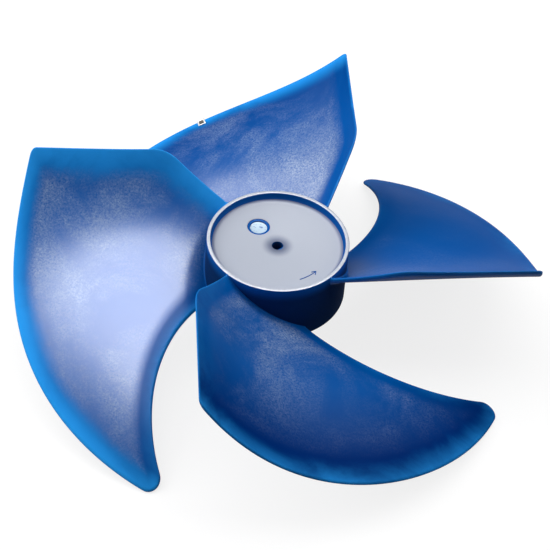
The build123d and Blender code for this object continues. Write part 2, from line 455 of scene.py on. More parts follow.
def corner_arc(before, corner, after, radius, steps):
    """Points of the round that replaces a corner between two straight lines."""
    back = (before - corner) / np.hypot(*(before - corner))
    on = (after - corner) / np.hypot(*(after - corner))
    half = math.acos(np.clip(back @ on, -1, 1)) / 2
    middle = (back + on) / np.hypot(*(back + on))
    centre = corner + middle * radius / math.sin(half)
    reach = radius / math.tan(half)
    return arc(centre, corner + back * reach, corner + on * reach, steps)


def circle_through(a, b, c):
    """Centre and radius of the circle through three points."""
    chords = 2 * np.array((b - a, c - a))
    centre = np.linalg.solve(chords, np.array((b @ b - a @ a, c @ c - a @ a)))
    return centre, np.hypot(*(a - centre))


def circles_meet(centre_a, radius_a, centre_b, radius_b, near):
    """The crossing of two circles that lies nearer to a point."""
    line = centre_b - centre_a
    gap = np.hypot(*line)
    along = (radius_a**2 - radius_b**2 + gap**2) / (2 * gap)
    across = math.sqrt(max(radius_a**2 - along**2, 0)) * np.array((-line[1], line[0])) / gap
    crossings = [centre_a + line / gap * along + side * across for side in (1, -1)]
    return min(crossings, key=lambda point: np.hypot(*(point - near)))


def tip_line(settings):
    """Ends of the tip line and the circle it lies on, in plan from the datum line."""
    blade = settings.blade
    trailing = polar(blade.tip_radius - blade.tip_insets[0], blade.trailing_angles[2])
    leading = polar(blade.tip_radius - blade.tip_insets[1], blade.leading_angles[2])
    centre, radius = circle_through(trailing, polar(blade.tip_radius, blade.crown), leading)
    return trailing, leading, centre, radius


def blade_outline(settings, steps=48):
    """Free edge of a blade in plan as three runs: trailing, tip and leading, split in the tip corners' rounds."""
    blade, hub = settings.blade, settings.hub
    bend_round, trailing_round, leading_round = blade.corner_rounds
    inner = hub.radius - 1.6 * hub.wall  # The side runs start inside the hub's wall
    hub_end = polar(inner, blade.trailing_angles[0])
    bend = polar(blade.bend_radius, blade.trailing_angles[1])
    trailing_tip, leading_tip, tip_centre, tip_sweep = tip_line(settings)
    leading_hub = polar(inner, blade.leading_angles[0])
    mid_radius = (hub.radius + blade.tip_radius) / 2
    leading_mid = polar(mid_radius, blade.leading_angles[1])
    leading_centre, leading_sweep = circle_through(leading_tip, leading_mid, leading_hub)

    # Trailing corner: its centre is one round inside both the straight edge and the tip circle
    along = (bend - trailing_tip) / np.hypot(*(bend - trailing_tip))
    inward = np.array((-along[1], along[0]))
    inward *= np.sign(inward @ (leading_tip - trailing_tip))
    base = trailing_tip + inward * trailing_round - tip_centre
    lean = base @ along
    root = math.sqrt(lean**2 - base @ base + (tip_sweep - trailing_round) ** 2)
    reach = min(-lean - root, -lean + root, key=abs)
    trailing_centre = tip_centre + base + along * reach
    on_edge = trailing_centre - inward * trailing_round
    on_tip = tip_centre + (trailing_centre - tip_centre) * tip_sweep / (tip_sweep - trailing_round)
    trailing_arc = arc(trailing_centre, on_edge, on_tip, steps)

    # Leading corner: one round inside the tip circle and one outside the hollow leading edge
    corner_centre = circles_meet(
        tip_centre, tip_sweep - leading_round, leading_centre, leading_sweep + leading_round, leading_tip
    )
    from_tip = tip_centre + (corner_centre - tip_centre) * tip_sweep / (tip_sweep - leading_round)
    on_leading = leading_centre + (corner_centre - leading_centre) * leading_sweep / (leading_sweep + leading_round)
    leading_arc = arc(corner_centre, from_tip, on_leading, steps)

    half = steps // 2
    trailing = [hub_end] + corner_arc(hub_end, bend, trailing_tip, bend_round, steps) + trailing_arc[: half + 1]
    tip = trailing_arc[half:] + arc(tip_centre, on_tip, from_tip, 4 * steps)[1:] + leading_arc[1 : half + 1]
    leading = leading_arc[half:] + arc(leading_centre, on_leading, leading_hub, 4 * steps)[1:]
    return np.array(trailing), np.array(tip), np.array(leading)


def travelled(points):
    """Length along a run of points, from 0 at the first."""
    return np.concatenate(([0], np.cumsum(np.hypot(*np.diff(points, axis=0).T))))


def at_lengths(points, lengths):
    """Points of a run at lengths along it."""
    way = travelled(points)
    return np.stack([np.interp(lengths, way, points[:, axis]) for axis in (0, 1)], axis=1)


def eased(count, ease):
    """Values from 0 to 1, closer together at both ends by a share of ease."""
    even = np.linspace(0, 1, count)
    return even * (1 - ease) + (1 - np.cos(math.pi * even)) / 2 * ease


def side_rows(run, root_rows, outer_rows):
    """Points of a side run that starts at the hub: dense rows through the root fillet, then even ones."""
    radii = np.hypot(*run.T)
    way = travelled(run)
    rising = np.argmax(radii > root_rows[-1]) + 1
    start = np.interp(root_rows, radii[: rising + 1], way[: rising + 1])
    rest = start[-1] + (way[-1] - start[-1]) * eased(outer_rows + 1, ROW_EASE)[1:]
    return at_lengths(run, np.concatenate((start, rest)))


def edge_normals(dense, edge, outer):
    """Outward normals in plan of a free edge's points; the one with the index outer faces away from the axis."""
    way = travelled(dense)
    tangent = np.gradient(dense, axis=0) / np.gradient(way)[:, None]
    lengths = travelled_to(dense, edge)
    tangent = np.stack([np.interp(lengths, way, tangent[:, axis]) for axis in (0, 1)], axis=1)
    tangent /= np.hypot(*tangent.T)[:, None]
    outward = np.stack((tangent[:, 1], -tangent[:, 0]), axis=1)
    return outward * np.sign(outward[outer] @ edge[outer])


def skin_grid(left, right, top, across, up):
    """Grid of points between four sides, the lowest of which is straight."""
    bottom = left[0] + (right[0] - left[0]) * across[0]
    corners = (
        (1 - across) * (1 - up) * left[0]
        + across * (1 - up) * right[0]
        + (1 - across) * up * left[-1]
        + across * up * right[-1]
    )
    return (1 - across) * left[:, None] + across * right[:, None] + (1 - up) * bottom[None] + up * top[None] - corners


def on_side(settings, plan, side):
    """Points of a blade over some points in plan: 1 is the front skin, -1 the rear one and 0 the middle."""
    radius, angle = np.hypot(plan[..., 0], plan[..., 1]), np.arctan2(plan[..., 1], plan[..., 0])
    height, slope = camber(settings, radius, angle)
    lift = half_thickness(settings, radius) * np.hypot(1, slope) * side
    return np.concatenate((plan, (height + lift)[..., None]), axis=-1).reshape(-1, 3)


def blade_mesh_data(settings, outer_rows=60, columns=92, edge_rows=9):
    """Vertices and faces of the first blade, with the values its looks are made from."""
    blade, hub = settings.blade, settings.hub
    trailing, tip, leading = blade_outline(settings)
    start = hub.radius - hub.wall * 0.6
    fillet_rows = 1.45 * (1 - np.cos(np.linspace(-0.25, 1.25, 9)))
    root_rows = np.unique(np.round(np.concatenate(([start], hub.radius + blade.root_fillet * fillet_rows)), 6))
    trailing_rows = side_rows(trailing, root_rows, outer_rows)
    leading_rows = side_rows(leading[::-1], root_rows, outer_rows)[::-1]
    tip_columns = at_lengths(tip, travelled(tip)[-1] * eased(columns, COLUMN_EASE))
    edge = np.concatenate((trailing_rows, tip_columns[1:-1], leading_rows))
    rows = len(trailing_rows)
    outward = edge_normals(np.concatenate((trailing, tip[1:], leading[1:])), edge, rows + columns // 2)

    # Skin grid between the four sides, laid out in radius and angle
    inset = edge - outward * blade.edge_round
    inset = np.stack((np.hypot(*inset.T), np.arctan2(inset[:, 1], inset[:, 0])), axis=1)
    left, right = inset[:rows], inset[-rows:][::-1]
    top = np.concatenate((left[-1:], inset[rows : rows + columns - 2], right[-1:]))
    climb = travelled(trailing_rows)
    grid = skin_grid(
        left, right, top, eased(columns, COLUMN_EASE)[None, :, None], (climb / climb[-1])[:, None, None]
    )
    radius, angle = grid[..., 0], grid[..., 1]
    plan = np.stack((radius * np.cos(angle), radius * np.sin(angle)), axis=-1)

    # Front skin, rear skin and the strips of the rounded free edge between them
    layers = [on_side(settings, plan, 1), on_side(settings, plan, -1)]
    for turn in np.linspace(0, math.pi, edge_rows + 2)[1:-1]:
        spot = edge - outward * blade.edge_round * (1 - math.sin(turn))
        layers.append(on_side(settings, spot, math.cos(turn)))
    vertices = np.concatenate(layers)
    looks = blade_looks(settings, vertices, edge, rows, slice(rows * columns, 2 * rows * columns))
    return vertices, blade_faces(rows, columns, edge_rows), looks


def blade_looks(settings, vertices, edge, rows, rear):
    """Nearness to the free edge for the bands of painted backlight along it, and the painted sheen inside them, weaker
    on the rear skin.
    """
    blade, hub = settings.blade, settings.hub
    radius = np.hypot(*vertices[:, :2].T)
    # A weaker band of painted backlight runs along the leading edge, narrowing towards the tip
    leading_fade = np.linspace(0.8, 0.2, rows)
    leading = edge_nearness(vertices, edge[-rows:], blade.backlight_band * leading_fade) * 0.6
    inner = 1 - edge_nearness(vertices, edge, 2 * blade.sheen_margin)
    painted_sheen = np.clip(2 * inner - 1, 0, 1) * np.clip((radius - hub.radius) / blade.sheen_margin, 0, 1)
    painted_sheen[rear] *= blade.rear_sheen
    return {
        "share": span_share(settings, radius),
        "trailing": edge_nearness(vertices, edge[:rows], blade.backlight_band),
        "tip": np.maximum(edge_nearness(vertices, edge[rows:-rows], blade.backlight_band), leading),
        "line": edge_nearness(vertices, edge, blade.edge_highlight),
        "painted_sheen": painted_sheen,
    }


def blade_faces(rows, columns, edge_rows):
    """Faces of a blade: both skins, the strips of its rounded free edge, and its closed root."""
    faces = []
    cells, count = rows * columns, 2 * rows + columns - 2
    for row in range(rows - 1):
        for column in range(columns - 1):
            a = row * columns + column
            quad = (a, a + 1, a + columns + 1, a + columns)
            faces.append(quad)
            faces.append(tuple(cells + i for i in reversed(quad)))
    border = [row * columns for row in range(rows)]
    border += [(rows - 1) * columns + column for column in range(1, columns - 1)]
    border += [row * columns + columns - 1 for row in reversed(range(rows))]
    loops = [border]
    loops += [[2 * cells + strip * count + i for i in range(count)] for strip in range(edge_rows)]
    loops += [[cells + i for i in border]]
    for upper, lower in zip(loops, loops[1:]):
        for i in range(count - 1):
            faces.append((upper[i], upper[i + 1], lower[i + 1], lower[i]))
    for column in range(columns - 1):
        faces.append((column, cells + column, cells + column + 1, column + 1))
    faces.append(tuple(loop[0] for loop in loops))
    faces.append(tuple(loop[-1] for loop in reversed(loops)))
    return faces


def edge_nearness(vertices, edge, width):
    """1 at some edge points, 0 at a width away from them."""
    offsets = vertices[:, None, :2] - edge[None]
    return np.clip((1 - np.hypot(offsets[..., 0], offsets[..., 1]) / width).max(axis=1), 0, 1)


def travelled_to(dense, points):
    """Lengths along a dense run at the points of it that lie nearest to some others."""
    way = travelled(dense)
    offsets = points[:, None] - dense[None]
    nearest = np.argmin(np.hypot(offsets[..., 0], offsets[..., 1]), axis=1)
    return way[nearest]


def turned(points, angle):
    """Points turned about the shaft axis."""
    cos, sin = math.cos(angle), math.sin(angle)
    return points @ np.array(((cos, sin, 0), (-sin, cos, 0), (0, 0, 1)))


def new_piece(name, mesh, slot, *materials):
    """Object of a mesh with its materials, which rides on the fan's body."""
    piece = bpy.data.objects.new(name, mesh)
    bpy.context.scene.collection.objects.link(piece)
    for material in materials:
        mesh.materials.append(material)
    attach(piece, BODY)
    return piece


def finished_mesh(bm, name, sharp=None):
    """Mesh of a bmesh with outward normals and smooth faces, apart from edges sharper than an angle."""
    bmesh.ops.recalc_face_normals(bm, faces=bm.faces)
    mesh = bpy.data.meshes.new(name)
    bm.to_mesh(mesh)
    bm.free()
    mesh.shade_smooth()
    if sharp is not None:
        mesh.set_sharp_from_angle(angle=sharp)
    return mesh


def rounded_profile(corners, steps=6):
    """Profile points from (radius, height, round) corners, open at both ends."""
    spots = [np.array(corner[:2]) for corner in corners]
    points = [spots[0]]
    for before, spot, after, corner in zip(spots, spots[1:], spots[2:], corners[1:]):
        size = corner[2]
        points += corner_arc(before, spot, after, size, steps) if size else [spot]
    return points + [spots[-1]]


def spin_profile(bm, profile, segments, closed=True):
    """Rings of a profile spun about the shaft axis."""
    rings = []
    for radius, height in profile:
        spots = [2 * math.pi * i / segments for i in range(segments)]
        rings.append([bm.verts.new((radius * math.cos(a), radius * math.sin(a), height)) for a in spots])
    pairs = list(zip(rings, rings[1:])) + ([(rings[-1], rings[0])] if closed else [])
    for lower, upper in pairs:
        for i in range(segments):
            j = (i + 1) % segments
            bm.faces.new((lower[i], lower[j], upper[j], upper[i]))
    return rings


def prism(bm, outline, low, high):
    """Closed prism over a plan outline."""
    bottom, top = [[bm.verts.new((*point, height)) for point in outline] for height in (low, high)]
    bm.faces.new(bottom[::-1])
    bm.faces.new(top)
    for i, vertex in enumerate(bottom):
        j = (i + 1) % len(bottom)
        bm.faces.new((vertex, bottom[j], top[j], top[i]))


def put(tree, socket, value):
    """Links an output to an input socket, or sets the input to a plain value."""
    if isinstance(value, bpy.types.NodeSocket):
        tree.links.new(value, socket)
    else:
        socket.default_value = value


def node(tree, kind, place, inputs=None, **settings):
    """New shader node at a place, with its settings and its inputs' links or values."""
    made = tree.nodes.new(kind)
    made.location = place
    for name, value in settings.items():
        setattr(made, name, value)
    for key, value in (inputs or {}).items():
        put(tree, made.inputs[key], value)
    return made


def multiply(tree, place, first, second):
    """Product of two values or sockets."""
    return node(tree, "ShaderNodeMath", place, {0: first, 1: second}, operation="MULTIPLY").outputs[0]


def multiply_add(tree, place, first, second, third):
    """Product of two values or sockets, plus a third."""
    inputs = {0: first, 1: second, 2: third}
    return node(tree, "ShaderNodeMath", place, inputs, operation="MULTIPLY_ADD").outputs[0]


def map_range(tree, place, value, given=(0, 1), wanted=(0, 1), smooth=False):
    """Value mapped from a given range to a wanted one, along a straight or a smooth line."""
    inputs = {"Value": value, "From Min": given[0], "From Max": given[1], "To Min": wanted[0], "To Max": wanted[1]}
    kind = "SMOOTHSTEP" if smooth else "LINEAR"
    return node(tree, "ShaderNodeMapRange", place, inputs, interpolation_type=kind).outputs[0]


def noise(tree, place, vector, scale, **inputs):
    """Strength of a noise texture."""
    return node(tree, "ShaderNodeTexNoise", place, {"Vector": vector, "Scale": scale, **inputs}).outputs[0]


def own_space(tree, place):
    """Places in a piece's own space."""
    return node(tree, "ShaderNodeTexCoord", place).outputs["Object"]


def length_of(tree, place, vector):
    """Length of a vector."""
    return node(tree, "ShaderNodeVectorMath", place, {0: vector}, operation="LENGTH").outputs["Value"]


def new_group(name, inputs, outputs):
    """Shader node group with float sockets, and its input and output nodes."""
    group = bpy.data.node_groups.new(name, "ShaderNodeTree")
    for label, default in inputs.items():
        socket = group.interface.new_socket(name=label, in_out="INPUT", socket_type="NodeSocketFloat")
        socket.default_value = default
    for label in outputs:
        group.interface.new_socket(name=label, in_out="OUTPUT", socket_type="NodeSocketFloat")
    return group, node(group, "NodeGroupInput", (-900, 0)), node(group, "NodeGroupOutput", (600, 0))


def moulded_grain_group():
    """Fine grain of a spark-eroded mould: a height for bump and a speckle for colour and roughness."""
    name = "Moulded grain"
    if name in bpy.data.node_groups:
        return bpy.data.node_groups[name]
    group, given, result = new_group(name, {"Scale": 1300.0}, ("Height", "Speckle"))
    place, scale = own_space(group, (-900, -250)), given.outputs["Scale"]
    coarse_scale = multiply(group, (-760, -120), scale, 0.55)
    fine = noise(group, (-600, 100), place, scale, Detail=3.0, Roughness=0.65)
    coarse = noise(group, (-600, -200), place, coarse_scale, Detail=2.0)
    both = multiply(group, (-300, -100), fine, coarse)
    put(group, result.inputs["Height"], fine)
    put(group, result.inputs["Speckle"], map_range(group, (-100, -100), both, (0.11, 0.41)))
    return group


def sheen_patches_group():
    """Broad patchy mask for the painted sheen, which also makes the borders of the painted backlight bands ragged."""
    name = "Moulding bloom"
    if name in bpy.data.node_groups:
        return bpy.data.node_groups[name]
    group, given, result = new_group(name, {"Scale": 16.0, "Amount": 0.3}, ("Mask",))
    patches = noise(
        group, (-600, 0), own_space(group, (-900, -250)), given.outputs["Scale"],
        Detail=6.0, Roughness=0.62, Distortion=0.6,
    )
    spread = map_range(group, (-300, 0), patches, (0.35, 0.75), smooth=True)
    put(group, result.inputs["Mask"], multiply(group, (0, 0), spread, given.outputs["Amount"]))
    return group


def new_material(name, colour, **inputs):
    """Material with its tree, its Principled shader with some constant inputs, and a viewport colour."""
    material = bpy.data.materials.new(name)
    material.use_nodes = True
    material.diffuse_color = (*colour, 1)
    tree = material.node_tree
    shader = tree.nodes["Principled BSDF"]
    for label, value in inputs.items():
        shader.inputs[label.replace("_", " ")].default_value = value
    return material, tree, shader


def colour_mix(tree, place, first, second, factor):
    """Colour between two others, each a triple or a socket, by a factor's socket."""
    first, second = [c if isinstance(c, bpy.types.NodeSocket) else (*c, 1) for c in (first, second)]
    return node(tree, "ShaderNodeMix", place, {0: factor, 6: first, 7: second}, data_type="RGBA").outputs[2]


def grain_on(tree, shader, scale, roughness, strength):
    """Grain that sets a shader's bump, and its roughness between two values; gives back its speckle and roughness."""
    grain = node(tree, "ShaderNodeGroup", (-900, -400), {"Scale": scale}, node_tree=moulded_grain_group())
    rough = map_range(tree, (-500, -300), grain.outputs["Speckle"], wanted=roughness)
    relief = {"Strength": strength, "Distance": 0.0002, "Height": grain.outputs["Height"]}
    put(tree, shader.inputs["Roughness"], rough)
    put(tree, shader.inputs["Normal"], node(tree, "ShaderNodeBump", (-500, -600), relief).outputs["Normal"])
    return grain.outputs["Speckle"], rough


def moulded_plastic(finish):
    """Blue plastic of the blades: painted backlight along thin edges, painted shade towards some tips, and a pale
    painted sheen further in.

    Its gloss is a coat, strongest on the painted sheen and weaker along the edges and on the painted shade.
    """
    material, tree, shader = new_material(BLUE_PLASTIC, finish.blue, Specular_IOR_Level=0.0, Coat_Roughness=0.24)
    speckle, rough = grain_on(tree, shader, 1300.0, (0.16, 0.20), 0.12)
    patches = node(tree, "ShaderNodeGroup", (-1100, 0), {"Amount": 1.0}, node_tree=sheen_patches_group()).outputs["Mask"]
    # Painted light and shade from the mesh: backlight along the thin edges, sheen, and shade towards the tips in the
    # depth attribute
    thin, painted_sheen, depth = [
        node(tree, "ShaderNodeAttribute", (-1100, height), attribute_name=name).outputs["Fac"]
        for name, height in (("painted_backlight", 300), ("painted_sheen", -150), ("depth", 550))
    ]
    # Painted backlight: the edge bands turn azure, with ragged borders
    ragged = multiply_add(tree, (-900, 300), patches, -0.25, thin)
    clear = map_range(tree, (-700, 300), ragged, (0, 0.95), smooth=True)
    # Painted shade: the blue turns navy towards the tips
    shaded_pigment = colour_mix(tree, (-700, 550), finish.blue, finish.shade_navy, depth)
    base = colour_mix(tree, (-450, 300), shaded_pigment, finish.backlight_azure, clear)
    # Painted sheen: the pale colour, mottled by the patches and the grain
    mottled = multiply(tree, (-700, -50), multiply(tree, (-900, -50), patches, painted_sheen), speckle)
    paled = colour_mix(tree, (-200, 200), base, finish.painted_sheen, multiply(tree, (-500, -50), mottled, 0.55))
    put(tree, shader.inputs["Base Color"], paled)
    sheen_gloss = map_range(tree, (-450, 150), painted_sheen, wanted=(0.15, 1))
    unshaded = map_range(tree, (-450, 450), depth, wanted=(1, 0))
    off_edge = map_range(tree, (-450, 0), clear, wanted=(0.95, 0.2))
    coat = multiply(tree, (-250, 50), off_edge, multiply(tree, (-250, 150), sheen_gloss, unshaded))
    put(tree, shader.inputs["Coat Weight"], coat)
    put(tree, shader.inputs["Roughness"], multiply_add(tree, (-300, -250), painted_sheen, 0.12, rough))
    return material


def shared_blue():
    """The blades' plastic, which the hub and the sign share."""
    if BLUE_PLASTIC not in bpy.data.materials:
        raise RuntimeError("The blue plastic is missing: add the blades first")
    return bpy.data.materials[BLUE_PLASTIC]


def hub_wall_plastic(finish):
    """Duller plastic of the hub's walls, darkened with painted shade that fades out just under the rim."""
    material, tree, shader = new_material("Hub wall plastic", finish.wall, Specular_IOR_Level=0.05)
    grain_on(tree, shader, 800.0, (0.8, 0.92), 0.2)
    height = node(tree, "ShaderNodeSeparateXYZ", (-900, 300), {0: own_space(tree, (-1100, 300))}).outputs["Z"]
    # Painted shade fades out towards the rim, leaving the blade blue just under it
    under_rim = map_range(tree, (-700, 300), height, (0.027, 0.038), smooth=True)
    put(tree, shader.inputs["Base Color"], colour_mix(tree, (-250, 300), finish.wall, finish.blue, under_rim))
    return material


def hub_face_plastic(finish):
    """Smooth front face of the hub, pale with a painted reflection, darker around the bore, and darker with painted
    shade in the fillet at the wall.
    """
    material, tree, shader = new_material("Hub face plastic", finish.face, Specular_IOR_Level=0.15)
    grain_on(tree, shader, 700.0, (0.30, 0.38), 0.08)
    in_plan = {0: own_space(tree, (-1100, 300)), 1: (1, 1, 0)}
    flat = node(tree, "ShaderNodeVectorMath", (-900, 300), in_plan, operation="MULTIPLY").outputs[0]
    away = length_of(tree, (-720, 300), flat)
    # Darker around the bore
    near_bore = map_range(tree, (-540, 450), away, (0.0035, 0.0125), (0.75, 0), smooth=True)
    # Painted shade in the recess's fillet at the wall
    fillet = map_range(tree, (-540, 150), away, (0.0428, 0.0455), (0, 0.65), smooth=True)
    bore_darkened = colour_mix(tree, (-250, 450), finish.face, finish.wall, near_bore)
    put(tree, shader.inputs["Base Color"], colour_mix(tree, (-50, 300), bore_darkened, finish.shade_navy, fillet))
    return material


def rim_plastic(finish):
    """Pale top of the hub's rim, a painted highlight."""
    material, tree, shader = new_material("Hub rim plastic", finish.face, Specular_IOR_Level=0.75)
    speckle, _ = grain_on(tree, shader, 700.0, (0.32, 0.42), 0.1)
    # Painted highlight: the pale top of the rim, mottled by the grain
    dim = [channel * 0.8 for channel in finish.face]
    put(tree, shader.inputs["Base Color"], colour_mix(tree, (-250, 300), dim, finish.face, speckle))
    return material


def insert_plastic(finish):
    """Bare pale floor of the insert seat with a few dark flecks."""
    material, tree, shader = new_material("Insert floor", finish.insert)
    grain_on(tree, shader, 500.0, (0.25, 0.45), 0.1)
    flecks = noise(tree, (-700, 300), own_space(tree, (-900, 300)), 420.0)
    picked = map_range(tree, (-500, 300), flecks, (0.55, 0.68))
    put(tree, shader.inputs["Base Color"], colour_mix(tree, (-250, 300), finish.insert, finish.blue, picked))
    return material


def clip_steel(name, colour, roughness):
    """Rolled spring steel with a fine grain."""
    material, tree, shader = new_material(name, colour, Metallic=1.0)
    speckle, _ = grain_on(tree, shader, 1500.0, roughness, 0.1)
    dark = [channel * 0.7 for channel in colour]
    put(tree, shader.inputs["Base Color"], colour_mix(tree, (-250, 300), dark, colour, speckle))
    return material


class FanSettings(bpy.types.PropertyGroup):
    """All settings of the fan's looks."""

    hub: bpy.props.PointerProperty(type=FanHubSettings)
    blade: bpy.props.PointerProperty(type=FanBladeSettings)
    clip: bpy.props.PointerProperty(type=FanClipSettings)
    sign: bpy.props.PointerProperty(type=FanSignSettings)
    finish: bpy.props.PointerProperty(type=FanFinishSettings)
    stage: bpy.props.PointerProperty(type=FanStageSettings)


class FAN_OT_add_blades(bpy.types.Operator):
    """Adds the swept, twisted blades around the hub"""

    bl_idname = "fan.add_blades"
    bl_label = "Add blades"

    def execute(self, context):
        settings = context.scene.fan
        blade = settings.blade
        if blade.count > len(blade.sheen_shares):
            raise RuntimeError("There are more blades than looks for them")
        vertices, faces, looks = blade_mesh_data(settings)
        all_vertices, all_faces = [], []
        clear, pale, painted_shades = [], [], []
        for index in range(blade.count):
            angle = blade.datum + 2 * math.pi * index / blade.count
            all_faces += [tuple(index * len(vertices) + i for i in face) for face in faces]
            all_vertices.append(turned(vertices, angle))
            # Painted light and shade per blade, weighted by how the lamps fall on it: backlight bands, edge highlight,
            # sheen and shade
            line = looks["line"] * (HIGHLIGHT_LEAST + HIGHLIGHT_GAIN * blade.tip_backlight[index])
            bands = looks["trailing"] * blade.trailing_backlight[index], looks["tip"] * blade.tip_backlight[index]
            clear.append(np.maximum(np.maximum(*bands), line))
            fade = np.clip(FULL_SHEEN - looks["share"] * blade.sheen_fades[index], 0, 1)
            pale.append(looks["painted_sheen"] * fade * blade.sheen_shares[index])
            painted_shades.append(np.clip((looks["share"] - SHADE_START) / SHADE_RUN, 0, 1) * blade.shade_shares[index])
        raw = bpy.data.meshes.new("Raw blades")
        raw.from_pydata(np.concatenate(all_vertices).tolist(), [], all_faces)
        bm = bmesh.new()
        bm.from_mesh(raw)
        bpy.data.meshes.remove(raw)
        mesh = finished_mesh(bm, "Blades")
        for name, values in (("painted_backlight", clear), ("painted_sheen", pale), ("depth", painted_shades)):
            mesh.attributes.new(name, "FLOAT", "POINT").data.foreach_set("value", np.concatenate(values))
        piece = new_piece("blades", mesh, "blue_plastic", moulded_plastic(settings.finish))
        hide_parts("fan_moulding")
        return {"FINISHED"}


class FAN_OT_add_hub(bpy.types.Operator):
    """Adds the hub cup with its boss, ribs, bore and insert seat"""

    bl_idname = "fan.add_hub"
    bl_label = "Add hub"

    def execute(self, context):
        settings = context.scene.fan
        hub = settings.hub
        rim_radius = hub.radius - (hub.rim - hub.rear) * math.tan(hub.draft)
        face = hub.rim - hub.recess_depth
        back = face - hub.plate
        soft = hub.edge_round
        profile = rounded_profile(
            (
                (hub.bore_radius, hub.pilot_length, 0),
                (hub.pilot_radius, hub.pilot_length, 0),
                (hub.pilot_radius, 0, soft / 2),
                (hub.boss_radius, 0, soft),
                (hub.boss_radius, back, 2 * soft),
                (rim_radius - hub.wall, back, 2 * soft),
                (hub.radius - hub.wall, hub.rear, soft),
                (hub.radius, hub.rear, soft),
                (rim_radius, hub.rim, soft),
                (rim_radius - hub.wall, hub.rim, soft),
                (rim_radius - hub.wall, face, hub.recess_fillet),
                (hub.bore_radius, face, soft / 3),
                (hub.bore_radius, hub.pilot_length, 0),
            )
        )
        bm = bmesh.new()
        spin_profile(bm, profile[:-1], segments=192)
        prism(bm, self.bore_filling(hub), hub.pilot_length, face - soft / 3)
        for index in range(hub.rib_count):
            along, side = self.along_and_side(hub.rib_turn + 2 * math.pi * index / hub.rib_count)
            side *= hub.rib_thickness / 2
            near, far = along * hub.boss_radius * 0.9, along * (hub.radius - hub.wall / 2)
            prism(bm, [near - side, far - side, far + side, near + side], back + hub.plate / 2, hub.rib_rear)
        mesh = finished_mesh(bm, "Hub", SHARP_ANGLE)
        finish = settings.finish
        piece = new_piece(
            "hub", mesh, "blue_plastic",
            hub_wall_plastic(finish), hub_face_plastic(finish), insert_plastic(finish), shared_blue(),
            rim_plastic(finish),
        )
        self.cut_insert_seat(piece, hub, face)
        self.assign_materials(piece.data, hub, face)
        return {"FINISHED"}

    @staticmethod
    def along_and_side(turn):
        """Unit vectors in plan along a direction and to its left."""
        along = polar(1, turn)
        return along, np.array((-along[1], along[0]))

    @staticmethod
    def bore_filling(hub):
        """Plan outline of what fills a round bore up to the flat of the D, reaching a little into its wall."""
        half = math.acos(hub.bore_flat / hub.bore_radius)
        over = hub.bore_radius * 1.2
        along, side = FAN_OT_add_hub.along_and_side(hub.bore_turn)
        flat, reach = along * hub.bore_flat, side * math.sin(half) * over
        outer = [polar(over, hub.bore_turn + half * i / 6) for i in range(-5, 6)]
        return [flat - reach] + outer + [flat + reach]

    @staticmethod
    def assign_materials(mesh, hub, face):
        """Gives faces that look forward their material by height; the others keep the wall's."""
        front, insert, blue, rim = 1, 2, 3, 4
        step, depth = hub.insert_depths
        for polygon in mesh.polygons:
            height = polygon.center.z
            if polygon.normal.z <= 0.7:
                continue
            if face - depth - LEVEL < height < face + hub.recess_fillet * 0.3:
                if height < face - step - LEVEL:
                    polygon.material_index = insert
                else:
                    polygon.material_index = blue if height < face - LEVEL else front
            elif height > hub.rim - 4 * LEVEL:
                polygon.material_index = rim

    @staticmethod
    def cut_insert_seat(piece, hub, face):
        """Cuts the stepped round seat into the front face."""
        outer, inner = hub.insert_radii
        step, depth = hub.insert_depths
        soft = hub.edge_round / 3
        profile = rounded_profile(
            (
                (outer + 2 * soft, face + 0.002, 0),
                (outer + 2 * soft, face + soft, 0),
                (outer, face - soft, soft / 2),
                (outer, face - step, soft),
                (inner + soft, face - step, soft / 2),
                (inner, face - depth, soft),
                (0.0005, face - depth, 0),
            ),
            steps=3,
        )
        bm = bmesh.new()
        rings = spin_profile(bm, profile, segments=96, closed=False)
        bm.faces.new(rings[0])
        bm.faces.new(rings[-1][::-1])
        spot = polar(hub.insert_distance, hub.insert_turn)
        bmesh.ops.translate(bm, verts=bm.verts, vec=(*spot, 0))
        cutter = bpy.data.objects.new("seat_cutter", finished_mesh(bm, "Seat cutter"))
        bpy.context.scene.collection.objects.link(cutter)
        cut = piece.modifiers.new("Insert seat", "BOOLEAN")
        cut.operation = "DIFFERENCE"
        cut.solver = "EXACT"
        cut.use_self = True
        cut.object = cutter
        graph = bpy.context.evaluated_depsgraph_get()
        made = bpy.data.meshes.new_from_object(piece.evaluated_get(graph))
        if not made.polygons:
            raise RuntimeError("Cutting the insert seat left nothing of the hub")
        piece.modifiers.clear()
        old = piece.data
        piece.data = made
        made.name = "Hub"
        bpy.data.meshes.remove(old)
        bpy.data.objects.remove(cutter)
        made.shade_smooth()
        made.set_sharp_from_angle(angle=SHARP_ANGLE)


